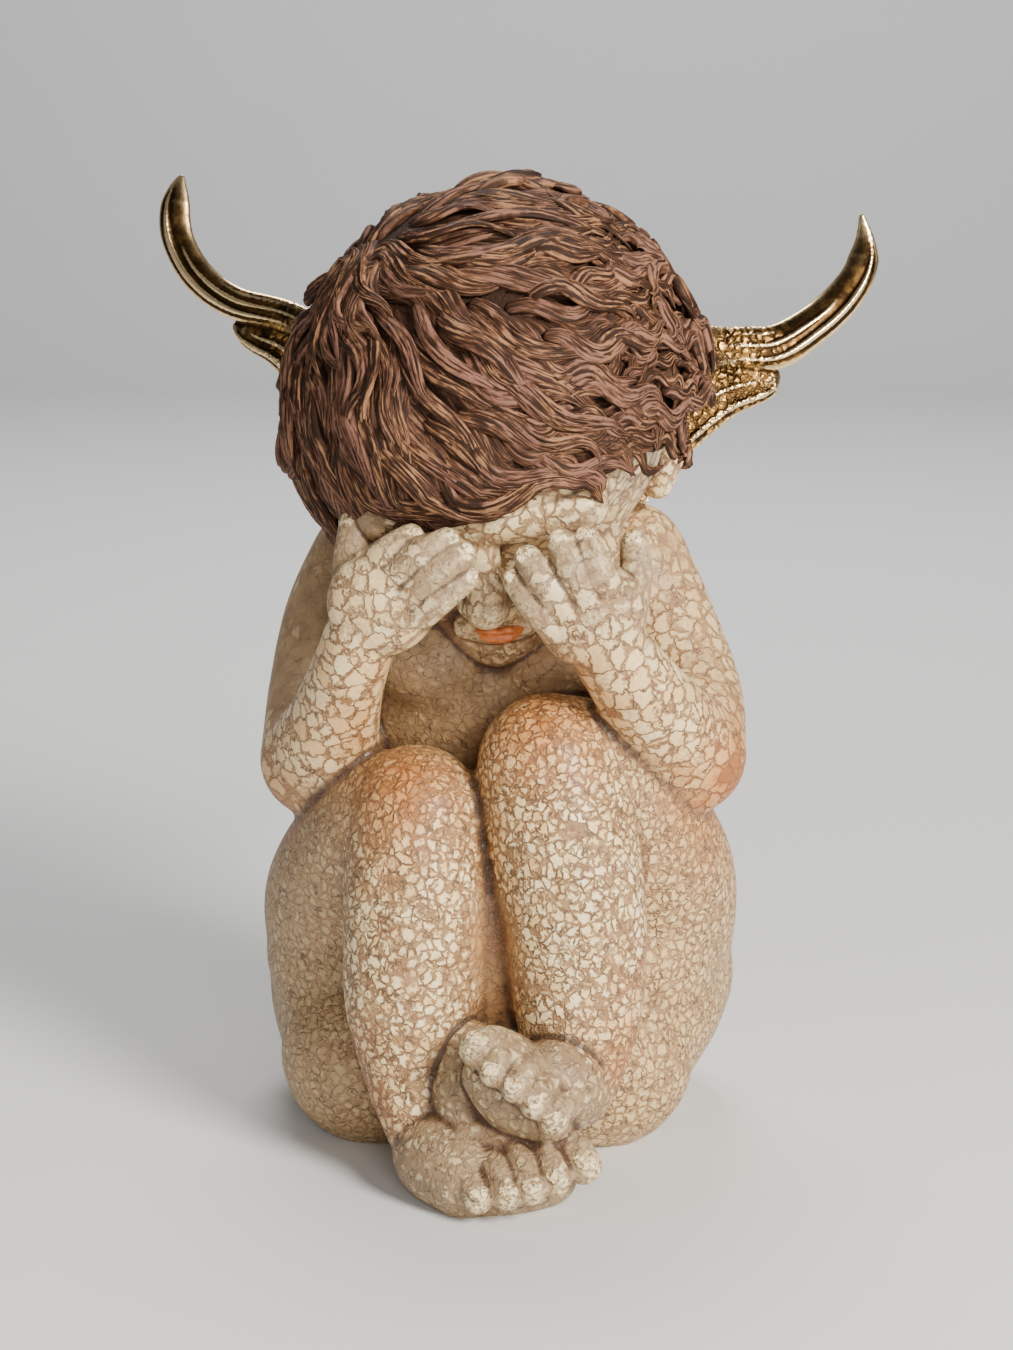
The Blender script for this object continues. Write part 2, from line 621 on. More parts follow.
@dataclass
class Hair:
    """Locks that run over the scalp from the crown."""

    head: Head
    view: View
    seed: int = 11
    rosette: int = 9  # locks in each ring round the crown
    rosette_reach: tuple[float, float] = (0.11, 0.19)
    front_from: float = 0.1  # roots further forward than this make the front pieces
    crown: Vector = field(default_factory=lambda: Vector(WHORL).normalized())
    layers: tuple[Layer, ...] = (
        Layer("hair_under", 7.4, 5.0, 0.3, -0.8, 0.6, 30.0, 4, 16, 11),
        Layer("hair_middle", 7.7, 3.5, 0.5, 0.4, 2.6, 34.0, 4, 24, 16),
        Layer("hair_upper", 7.8, 2.7, 0.62, 1.8, 4.4, 34.0, 3, 22, 16),
        Layer("hair_curls", 8.6, 3.0, 0.85, 3.4, 6.2, 21.0, 3, 20, 16),
    )

    def guides(self) -> None:
        """Puts the strokes of the front view on the scalp."""
        places, ways = [], []
        for stroke in STROKES:
            spots = [self.head.seen(self.view, *spot) for spot in stroke]
            spots = [spot for spot in spots if spot]
            for near, far in zip(spots, spots[1:]):
                for share in (0.15, 0.5, 0.85):
                    places.append(near.lerp(far, share).normalized())
                    ways.append((far - near).normalized())
        self.places = np.array(places)
        self.ways = np.array(ways)

    def stream(self, place: Vector) -> Vector:
        """The way in which the hair runs at a place on the scalp.

        Args:
            place: a direction from the head's middle.

        Returns:
            A unit vector along the scalp.
        """
        away = (place - self.crown * place.dot(self.crown)).normalized()
        swing = 1.6 * noise.noise(place * 2.8 + Vector((3.1, 0.4, 1.7)))
        loose = (away + place.cross(away) * swing).normalized()
        gaps = ((self.places - np.array(place)) ** 2).sum(axis=1)
        weights = np.exp(-gaps / 0.0125)
        drawn = Vector((weights[:, None] * self.ways).sum(axis=0)) + loose * 0.07
        drawn -= place * drawn.dot(place)
        return drawn.normalized()

    def hairline(self, place: Vector) -> float:
        """Lowest angle of the hair, in degrees, on the side of the head that a direction points to."""
        turns, angles = zip(*HAIRLINE)
        return float(np.interp(math.degrees(math.atan2(place.x, place.y)), turns, angles))

    def ground(self, places: np.ndarray) -> np.ndarray:
        """The skull under the hair.

        Args:
            places: directions from the head's middle.

        Returns:
            Points on the scalp, or on the forehead where it stands out further.
        """
        points = places * np.array(SCALP)
        reach = np.ones(len(points))
        for name in ("skull", "forehead"):
            centre, radii = (np.array(part, float) for part in FACE_MASSES[name])
            way, start = points / radii, -centre / radii
            a = (way * way).sum(axis=1)
            half = way @ start
            rest = half**2 - a * (start @ start - 1)
            out = np.where(rest > 0, (-half + np.sqrt(np.maximum(rest, 0))) / a, 0)
            reach = np.maximum(reach, out + 0.004)
        return points * reach[:, None]

    def roots(self, spacing: float, chance: random.Random) -> list[Vector]:
        """Places on the scalp from which locks grow, evenly spread, with a rosette at the crown.

        Args:
            spacing: how far apart they are.
            chance: the source of small differences.

        Returns:
            Directions from the head's middle.
        """
        count = round(4 * math.pi * SCALP_RADIUS**2 / spacing**2)
        turned = Euler((chance.uniform(0, 6), chance.uniform(0, 6), 0)).to_matrix()
        spots = []
        for k in range(count):
            rise = 1 - 2 * (k + 0.5) / count
            turn = k * math.pi * (3 - math.sqrt(5))
            flat = math.sqrt(1 - rise * rise)
            spot = turned @ Vector((flat * math.cos(turn), flat * math.sin(turn), rise))
            spot += Vector(chance.uniform(-0.04, 0.04) for _ in range(3))
            spots.append(spot.normalized())
        side = self.crown.orthogonal().normalized()
        for k in range(2 * self.rosette):
            turn = 2 * math.pi * (k + chance.uniform(-0.3, 0.3)) / self.rosette
            out = side * math.cos(turn) + self.crown.cross(side) * math.sin(turn)
            spots.append((self.crown - out * self.rosette_reach[k // self.rosette]).normalized())
        return [spot for spot in spots if math.degrees(math.asin(spot.z)) > self.hairline(spot) + 6]

    def section(
        self, layer: Layer, share: np.ndarray, chance: random.Random
    ) -> tuple[np.ndarray, np.ndarray]:
        """The sections of a lock, with strands that wander along it.

        Args:
            layer: the lock's layer.
            share: how far along the lock each ring lies.
            chance: the source of its small differences.

        Returns:
            Across and up for each ring and side, and how much of a ridge each is.
        """
        top = layer.sides - 4
        turns = np.concatenate([np.linspace(-0.1, 1.1, top), np.linspace(1.3, 1.7, 4)]) * math.pi
        lane = np.cos(turns)[None, :] * layer.strands / 2 + chance.uniform(-0.7, 0.7) * share[:, None]
        crest = (1 - np.abs(2 * ((lane + chance.uniform(0, 1)) % 1.0) - 1)) ** 0.7
        crest[:, top:] = 0.1
        depth = chance.uniform(0.3, 0.5)
        size = 1 - depth * (1 - crest)
        return np.stack([np.cos(turns) * (0.85 + 0.15 * size), np.sin(turns) * size], axis=2), crest

    def lock(self, root: Vector, layer: Layer, chance: random.Random, clay: Clay) -> None:
        """Adds one lock.

        Args:
            root: the place that it grows from.
            layer: its layer.
            chance: the source of its small differences.
            clay: what it is added to.
        """
        front = max(0.0, min(1.0, 0.62 + root.y * 0.9 + root.z * 0.35 - abs(root.x + 0.1) * 0.45))
        curly = layer.name == "hair_curls"
        if curly and (front > 0.64 or root.dot(self.crown) > 0.78):
            return
        wavy = max(0.0, min(1.0, 0.2 + root.x * 1.3)) + 0.5 * (1 - front)
        drift = noise.noise(root * 5.0 + Vector((layer.low, 8.0, 0.0)))
        length = layer.length * (1.15 - 0.4 * wavy) * chance.uniform(0.7, 1.2)
        curl = (0.9 * wavy + 0.25) * (1 if drift > 0 else -1) * chance.uniform(0.3, 1.6)
        if curly:
            length = layer.length * chance.uniform(0.8, 1.2)
            curl = chance.choice((-1, 1)) * chance.uniform(3.4, 5.2)
        lift = layer.low + (layer.high - layer.low) * max(0.0, min(1.0, chance.uniform(0.1, 0.9) + drift))
        breadth = layer.half_width * chance.uniform(0.65, 1.25) * (1.15 - 0.25 * wavy)
        sway = 0.25 + 0.4 * wavy + 0.2 * abs(drift)
        waves = 7.0 + 5.0 * wavy
        phase = 9.0 * noise.noise(root * 2.2) + chance.uniform(-0.6, 0.6)
        flick = 0.4 if layer.low < 0 else chance.uniform(0.6, 1.8) + 1.2 * wavy
        steps = layer.rings
        place, places = root.copy(), []
        for k in range(steps + 1):
            share = k / steps
            places.append(place.copy())
            way = self.stream(place)
            if root.dot(self.crown) > 0.975 and share < 0.35:
                way = (self.crown - root).normalized()
            bend = sway * math.sin(phase + waves * share) + curl * share**1.6
            way = (way * math.cos(bend) + place.cross(way) * math.sin(bend)).normalized()
            if math.degrees(math.asin(max(-1, min(1, place.z)))) < self.hairline(place) + 1:
                way = (way + Vector((0, 0, 0.55))).normalized()
            place = (place + way * (length / steps / SCALP_RADIUS)).normalized()
        share = np.linspace(0, 1, steps + 1)
        normals = np.array(places)
        under = self.ground(normals)
        outward = unit_rows(under / np.array(SCALP) ** 2)
        rise = lift * np.sin(np.pi * (0.12 + 0.8 * share)) ** 0.5 - 1.6 * (1 - share) ** 5 + flick * share**3
        centres = under + outward * rise[:, None]
        width = breadth * (np.sin(np.pi * (0.1 + 0.9 * share)) ** 0.6) * (1.2 - 0.6 * share)
        width[0] = 0.0
        width[-1] = 0.0
        tangents = unit_rows(np.gradient(centres, axis=0))
        outward = unit_rows(outward - tangents * (outward * tangents).sum(axis=1, keepdims=True))
        side = np.cross(tangents, outward)
        roll = 0.4 * np.sin(phase + 5 * share)[:, None]
        turned = side * np.cos(roll) + outward * np.sin(roll)
        outward = outward * np.cos(roll) - side * np.sin(roll)
        side = turned
        profile, crest = self.section(layer, share, chance)
        bead = Bead.of(layer.sides, steps)
        bent = bead.bent(centres, side * width[:, None], outward * (width * layer.flatness)[:, None], profile)
        along = share[bead.ring] * length
        across = profile[bead.ring, bead.side, 0] * breadth
        above = ((bent - under[bead.ring]) * unit_rows(normals / np.array(SCALP))[bead.ring]).sum(axis=1)
        clay.press(
            self.head.placed(bent),
            bead.faces,
            crest=crest[bead.ring, bead.side],
            height=above,
            tone=np.full(len(bent), chance.uniform(0, 1)),
            strand=np.stack([across, along, np.full(len(bent), chance.uniform(0, 90))], axis=1),
        )

    def cap(self, clay: Clay) -> None:
        """Adds the cap under the locks."""
        bead = Bead.of(64, 40)
        shape = bead.points * np.array((48.0, 51.0, 46.0)) + np.array((0, -1.5, 4.0))
        angles = np.degrees(np.arcsin(np.clip(bead.points[:, 2], -1, 1)))
        lowest = np.array([self.hairline(Vector(point)) for point in bead.points])
        shape *= 1 - 0.2 * np.clip((lowest + 4 - angles) / 8, 0, 1)[:, None]
        count = len(shape)
        clay.press(
            self.head.placed(shape),
            bead.faces,
            crest=np.zeros(count),
            height=np.full(count, -2.0),
            tone=np.full(count, 0.3),
            strand=shape,
        )

    def build(self, finish: "HairPaint") -> None:
        """Models the layers of the hair.

        Args:
            finish: what it is painted with.
        """
        self.guides()
        material = finish.material()
        for turn, layer in enumerate(self.layers):
            chance = random.Random(self.seed + turn)
            halves = {"front": Clay(), "back": Clay()}
            if turn == 0:
                self.cap(halves["back"])
            for root in self.roots(layer.spacing, chance):
                self.lock(root, layer, chance, halves["front" if root.y > self.front_from else "back"])
            for half, clay in halves.items():
                dress(clay.fired(f"{layer.name}_{half}"), material, Slot.CRACKLED_STONE, "figure")


def dress(piece: bpy.types.Object, material: bpy.types.Material, slot: Slot, *nodes: str) -> None:
    """Gives a finished piece its material and says what it stands for.

    Args:
        piece: the piece.
        material: its material.
        slot: the record's material slot.
        *nodes: the nodes that it replaces.
    """
    piece.data.materials.clear()
    piece.data.materials.append(material)
    for face in piece.data.polygons:
        face.use_smooth = True
    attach(piece, "root")
    if nodes:
        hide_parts(*nodes)
    log_piece(piece)


@dataclass(frozen=True)
class Region:
    """How the paint lies on one part of the body."""

    cover: float
    coarse: float
    dusk: float = 0.0
    light: float = 0.5
    calm: float = 0.0


# The paint of each limb or mass, by the start of its name.
PAINT = {
    "right_forearm": Region(0.92, 1.0, 0.05, 0.8),
    "left_forearm": Region(0.92, 0.95, 0.0, 0.85),
    "right_arm": Region(0.15, 0.6, 0.5, 0.3, 0.2),
    "left_arm": Region(0.72, 0.9, 0.05, 0.5, 0.05),
    "shoulders": Region(0.4, 0.8, 0.2, 0.45, 0.2),
    "neck": Region(0.25, 0.5, 0.5, 0.2),
    "right_shin": Region(0.95, 0.1, 0.0, 0.95),
    "left_shin": Region(1.0, 0.15, 0.0, 1.0),
    "right_thigh": Region(0.6, 0.0, 0.45, 0.4, 0.65),
    "right_ham": Region(0.6, 0.0, 0.5, 0.35, 0.65),
    "right_seat": Region(0.6, 0.0, 0.5, 0.35, 0.65),
    "right_flank": Region(0.6, 0.0, 0.45, 0.35, 0.65),
    "right_side": Region(0.6, 0.0, 0.5, 0.35, 0.65),
    "right_hip": Region(0.6, 0.0, 0.5, 0.35, 0.65),
    "left_thigh": Region(0.85, 0.0, 0.0, 0.6, 0.5),
    "left_ham": Region(0.85, 0.0, 0.05, 0.6, 0.6),
    "left_seat": Region(0.8, 0.0, 0.05, 0.55, 0.6),
    "left_flank": Region(0.85, 0.0, 0.0, 0.6, 0.6),
    "left_side": Region(0.85, 0.0, 0.0, 0.6, 0.6),
    "between_shins": Region(0.0, 0.0, 0.0, 0.3, 0.3),
    "pelvis": Region(0.6, 0.0, 0.2, 0.45, 0.5),
    "belly": Region(0.3, 0.0, 0.4, 0.3, 0.3),
    "ribs": Region(0.35, 0.3, 0.4, 0.35, 0.3),
    "back": Region(0.55, 0.5, 0.2, 0.5, 0.3),
    "right_breast": Region(0.25, 0.2, 0.6, 0.5, 0.15),
    "left_breast": Region(0.25, 0.2, 0.6, 0.45, 0.15),
    "hand": Region(0.78, 0.75, 0.35, 0.85),
    "digit": Region(0.38, 0.5, 0.7, 0.7),
    "sole": Region(0.52, 0.35, 0.75, 0.7),
    "toe": Region(0.42, 0.4, 0.65, 1.0),
    "face": Region(0.6, 0.6, 0.3, 0.85),
    "forehead": Region(0.72, 0.85, 0.25, 0.8),
}

# Warm blushes: middle, radius and strength.
BLUSHES = (
    ((-19, -65, 101), 18, 1.0),
    ((-26, -62, 91), 13, 0.45),
    ((13, -63, 115), 17, 0.95),
    ((-58, -30, 88), 14, 0.85),
    ((60, -35, 93), 19, 1.1),
    ((-29, -72, 20), 10, 0.7),
    ((-30, -66, 34), 9, 0.5),
    ((34, -66, 34), 10, 0.85),
    ((37, -62, 50), 9, 0.5),
    ((2, -62, 60), 6, 0.4),
    ((2, -60, 80), 6, 0.4),
    ((3, -64, 40), 7, 0.6),
    ((15, -36, 126), 11, 0.25),
    ((0, -50, 100), 6, 0.4),
    ((-52, -10, 82), 8, 0.4),
)


@dataclass
class Figure:
    """The skin of the figure: trunk, limbs, face, hands and feet."""

    head: Head
    body_grain: float = 1.15
    fine_grain: float = 0.6
    triangles: int = 178000
    hollow_rounds: int = 60
    crease_rounds: int = 3

    def body(self) -> bpy.types.Object:
        """Models trunk, arms and legs as soft masses."""
        clay = Clay()
        for centre, radii, bow in MASSES.values():
            clay.ball(centre, radii, Euler((math.radians(bow), 0, 0)).to_matrix())
        for stations in LIMBS.values():
            clay.limb(stations)
        return fused(clay, "body", self.body_grain, 14)

    def face(self) -> bpy.types.Object:
        """Models skull and face."""
        clay = Clay()
        for centre, radii in FACE_MASSES.values():
            clay.ball(tuple(self.head.matrix @ Vector(centre)), radii, self.head.matrix)
        soft = fused(clay, "head", self.body_grain, 16)
        clay = Clay()
        clay.take(soft)
        for stations in FEATURES.values():
            clay.limb(self.head.stations(stations), 14, 24)
        return fused(clay, "head", self.fine_grain, 5)

    def hands_and_feet(self) -> bpy.types.Object:
        """Models palms, digits, soles and toes."""
        clay = Clay()
        for centre, (along, across, through), angle in PALMS.values():
            turn = Euler((0, -math.radians(angle), 0)).to_matrix()
            clay.ball(centre, (along, through, across), turn)
        for group in (DIGITS, SOLES, TOES):
            for stations in group.values():
                clay.limb(stations, 14, 24)
        return fused(clay, "hands and feet", self.fine_grain, 3)

    def regions(self, points: np.ndarray) -> dict[str, np.ndarray]:
        """Works out how the paint lies at each point.

        Args:
            points: points of the skin.

        Returns:
            A value for each point under the names of a region's fields.
        """
        parts = []
        for name, stations in LIMBS.items():
            parts.append((PAINT[name], smooth_path(stations, 12)))
        for name, (centre, radii, _) in MASSES.items():
            parts.append((PAINT[name], np.array([(*centre, sum(radii) / 3)])))
        for group, kind in ((DIGITS, "digit"), (SOLES, "sole"), (TOES, "toe")):
            for stations in group.values():
                parts.append((PAINT[kind], smooth_path(stations, 5)))
        for centre, radii, _ in PALMS.values():
            parts.append((PAINT["hand"], np.array([(*centre, 12.0)])))
        for name, (centre, radii) in FACE_MASSES.items():
            spot = self.head.matrix @ Vector(centre)
            kind = PAINT["forehead" if name in ("forehead", "skull") else "face"]
            parts.append((kind, np.array([(*spot, sum(radii) / 3)])))
        total = np.zeros(len(points))
        sums = {name: np.zeros(len(points)) for name in Region.__dataclass_fields__}
        for region, rows in parts:
            gap = np.full(len(points), 1e9)
            for x, y, z, radius in rows:
                off = points - (x, y, z)
                gap = np.minimum(gap, np.sqrt((off * off).sum(axis=1)) - radius)
            weight = np.exp(-np.clip(gap, -6, 40) / 1.6)
            total += weight
            for name, values in sums.items():
                values += weight * getattr(region, name)
        return {name: values / total for name, values in sums.items()}

    def blush(self, points: np.ndarray) -> np.ndarray:
        """How warm the paint is at each point."""
        warmth = np.zeros(len(points))
        for centre, radius, strength in BLUSHES:
            gap = ((points - np.array(centre)) ** 2).sum(axis=1)
            warmth = np.maximum(warmth, strength * np.exp(-gap / radius**2))
        return warmth

    def flat(self, piece: bpy.types.Object) -> None:
        """Makes the underside flat."""
        points = points_of(piece)
        points[:, 2] = np.maximum(points[:, 2], 0.02)
        piece.data.vertices.foreach_set("co", (points * MM).ravel())
        piece.data.update()

    def build(self, finish: "StonePaint") -> bpy.types.Object:
        """Models the whole skin.

        Args:
            finish: what it is painted with.

        Returns:
            The piece.
        """
        clay = Clay()
        for part in (self.body(), self.face(), self.hands_and_feet()):
            clay.take(part)
        piece = fused(clay, "skin", self.fine_grain, 4)
        self.flat(piece)
        add_mark(piece.data, "hollow", hollows(piece, self.hollow_rounds))
        add_mark(piece.data, "crease", hollows(piece, self.crease_rounds))
        piece.data.calc_loop_triangles()
        ratio = min(1.0, self.triangles / len(piece.data.loop_triangles))
        worked(piece, "DECIMATE", ratio=ratio, use_collapse_triangulate=True)
        points = points_of(piece)
        for name, values in self.regions(points).items():
            add_mark(piece.data, name, values)
        add_mark(piece.data, "blush", self.blush(points))
        dress(piece, finish.material(), Slot.CRACKLED_STONE, "figure")
        return piece


@dataclass
class Nails:
    """Finger and toe nails."""

    breadth: float = 0.62
    reach: float = 0.66
    thickness: float = 0.18

    def build(self, finish: "StonePaint") -> bpy.types.Object:
        """Models all nails.

        Args:
            finish: what they are painted with.

        Returns:
            The piece.
        """
        clay = Clay()
        for group, facing in ((DIGITS, Vector((0, -1, 0.1))), (TOES, Vector((0, -0.55, 1)))):
            for name, stations in group.items():
                self.nail(clay, stations, Vector((-0.5, -0.8, 0)) if name == "right_thumb" else facing)
        piece = clay.fired("nails")
        points = points_of(piece)
        for name, value in (("cover", 0.7), ("coarse", 0.4), ("dusk", 0.2), ("light", 1.0), ("blush", 0.0)):
            add_mark(piece.data, name, np.full(len(points), value))
        add_mark(piece.data, "calm", np.zeros(len(points)))
        add_mark(piece.data, "hollow", np.full(len(points), -1.8))
        dress(piece, finish.material(), Slot.CRACKLED_STONE, "figure")
        return piece

    def nail(self, clay: Clay, stations: tuple, facing: Vector) -> None:
        """Adds one nail.

        Args:
            clay: what it is added to.
            stations: the stations of its finger or toe.
            facing: which way the nail faces.
        """
        rows = smooth_path(stations, 12)
        tip, radius = Vector(rows[-1][:3]), rows[-1][3]
        way = (tip - Vector(rows[-3][:3])).normalized()
        up = (facing - way * facing.dot(way)).normalized()
        side = way.cross(up)
        bead = Bead.of(20, 12)
        shape = bead.points * radius
        place = tip + way * radius * 0.12 + up * radius * 0.8
        turned = shape[:, :1] * self.breadth * np.array(side) + shape[:, 1:2] * self.reach * np.array(way)
        turned = turned + shape[:, 2:] * self.thickness * np.array(up)
        rim = np.where(np.abs(bead.points[:, 2]) < 0.4, 0.08, -0.07)
        clay.press(turned + np.array(place), bead.faces, crease=rim)


@dataclass
class Lips:
    """The painted lips."""

    head: Head

    def build(self, finish: "LipPaint") -> bpy.types.Object:
        """Models both lips.

        Args:
            finish: what they are painted with.

        Returns:
            The piece.
        """
        clay = Clay()
        for stations in LIPS.values():
            clay.limb(self.head.stations(stations), 24, 24)
        piece = fused(clay, "lips", 0.3, 2)
        dress(piece, finish.material(), Slot.CRACKLED_STONE, "figure")
        return piece


@dataclass
class Wing:
    """One gilded wing: a long curved quill over a short lobe."""

    name: str
    thickness: float = 0.36
    grain: float = 0.4
    sides: int = 32
    kept: float = 0.44  # share of the faces that is kept
    # Lines on each feather: start and end as shares of it, place across it, and radius.
    quill_lines: tuple[tuple, ...] = (
        (0.3, 0.93, 0.5, 1.05), (0.25, 0.72, -0.1, 0.75), (0.3, 0.55, -0.6, 0.6),
    )
    lobe_lines: tuple[tuple, ...] = ((0.2, 0.94, 0.7, 0.9), (0.35, 0.85, 0.1, 0.6))

    def spine(self, stations: tuple) -> np.ndarray:
        """Rows of place and half breadth along a feather, which tapers to its tip."""
        rows = smooth_path(stations, 61)
        share = np.linspace(0, 1, len(rows))
        rows[:, 3] = (rows[:, 3] - 0.3) * np.clip((1 - share) * 6, 0, 1) ** 0.62
        rows[0, 3] = 0.0
        return rows

    def blade(self, clay: Clay, stations: tuple, facing: np.ndarray) -> None:
        """Adds a flat feather with a ridge along its lower side.

        Args:
            clay: what it is added to.
            stations: rows of x, y, z and half breadth.
            facing: the way in which its face looks.
        """
        rows = self.spine(stations)
        steps = len(rows) - 1
        centres, half = rows[:, :3], rows[:, 3]
        ways = unit_rows(np.gradient(centres, axis=0))
        side = unit_rows(np.cross(ways, facing))
        up = np.cross(side, ways)
        turns = np.arange(self.sides) * 2 * math.pi / self.sides
        profile = np.stack([np.cos(turns), np.sin(turns) * self.thickness], axis=1)
        bead = Bead.of(self.sides, steps)
        clay.press(bead.bent(centres, side * half[:, None], up * half[:, None], profile), bead.faces)

    def line(self, clay: Clay, stations: tuple, facing: np.ndarray, where: tuple) -> None:
        """Adds a raised line along a feather.

        Args:
            clay: what it is added to.
            stations: the feather's stations.
            facing: the way in which its face looks.
            where: start and end as shares of the feather, place across it, and radius.
        """
        start, end, across, radius = where
        rows = self.spine(stations)[int(start * 60) : int(end * 60) + 1]
        ways = unit_rows(np.gradient(rows[:, :3], axis=0))
        side = unit_rows(np.cross(ways, facing))
        side *= -1 if side[0, 2] > 0 else 1
        height = self.thickness * math.sqrt(max(0.0, 1 - across**2)) * 0.92
        spots = rows[:, :3] + side * (rows[:, 3] * across)[:, None] + facing * (rows[:, 3] * height)[:, None]
        taper = np.clip(np.minimum(np.arange(len(rows)), np.arange(len(rows))[::-1]) / 12, 0.1, 1)
        clay.limb(tuple(np.column_stack([spots, radius * taper])), 60, 12)

    def build(self, finish: "Gilding") -> bpy.types.Object:
        """Models the wing.

        Args:
            finish: what it is gilded with.

        Returns:
            The piece.
        """
        facing = np.array(Vector((0.0, -1.0, 0.2)).normalized())
        clay = Clay()
        quill, lobe = QUILLS[self.name], LOBES[self.name]
        self.blade(clay, quill, facing)
        self.blade(clay, lobe, facing)
        for face in (facing, -facing):
            for feather, lines in ((quill, self.quill_lines), (lobe, self.lobe_lines)):
                for where in lines:
                    self.line(clay, feather, face, where)
        piece = fused(clay, self.name + "_gilded", self.grain, 2)
        add_mark(piece.data, "crease", hollows(piece, 2))
        worked(piece, "DECIMATE", ratio=self.kept, use_collapse_triangulate=True)
        points = points_of(piece)
        root = np.clip((78 - np.abs(points[:, 0])) / 16, 0, 1) * np.clip((206 - points[:, 2]) / 12, 0.25, 1)
        add_mark(piece.data, "root", root)
        dress(piece, finish.material(), Slot.GILDING, self.name)
        return piece


class Flow:
    """A value, vector or colour that runs through a material's nodes, for use in expressions."""

    def __init__(self, works: "Works", socket: bpy.types.NodeSocket) -> None:
        """Wraps a node's output."""
        self.works = works
        self.socket = socket

    def joined(self, operation: str, first: object, second: object) -> "Flow":
        """The result of one operation.

        Args:
            operation: a Math or Vector Math operation.
            first: a flow or a number.
            second: a flow or a number.

        Returns:
            The result's flow.
        """
        flows = [value for value in (first, second) if isinstance(value, Flow)]
        if any(flow.socket.type != "VALUE" for flow in flows):
            if operation == "MULTIPLY" and not all(is_vector(value) for value in (first, second)):
                vector, number = (first, second) if is_vector(first) else (second, first)
                return self.works.node("VectorMath", {"operation": "SCALE"}, {0: vector, "Scale": number})
            return self.works.node("VectorMath", {"operation": operation}, {0: first, 1: second})
        return self.works.node("Math", {"operation": operation}, {0: first, 1: second})

    def __add__(self, other: object) -> "Flow":
        """Sum."""
        return self.joined("ADD", self, other)

    def __radd__(self, other: object) -> "Flow":
        """Sum, from the right."""
        return self.joined("ADD", other, self)

    def __sub__(self, other: object) -> "Flow":
        """Difference."""
        return self.joined("SUBTRACT", self, other)

    def __rsub__(self, other: object) -> "Flow":
        """Difference, from the right."""
        return self.joined("SUBTRACT", other, self)

    def __mul__(self, other: object) -> "Flow":
        """Product."""
        return self.joined("MULTIPLY", self, other)

    def __rmul__(self, other: object) -> "Flow":
        """Product, from the right."""
        return self.joined("MULTIPLY", other, self)

    def highest(self, other: object) -> "Flow":
        """The larger of the two."""
        return self.joined("MAXIMUM", self, other)

    def step(self, low: object, high: object) -> "Flow":
        """0 below low and 1 above high, with a soft rise between them."""
        values = {"Value": self, "From Min": low, "From Max": high}
        return self.works.node("MapRange", {"interpolation_type": "SMOOTHSTEP"}, values)


def is_vector(value: object) -> bool:
    """Whether an expression's part is a vector or a colour."""
    return isinstance(value, tuple) or (isinstance(value, Flow) and value.socket.type != "VALUE")


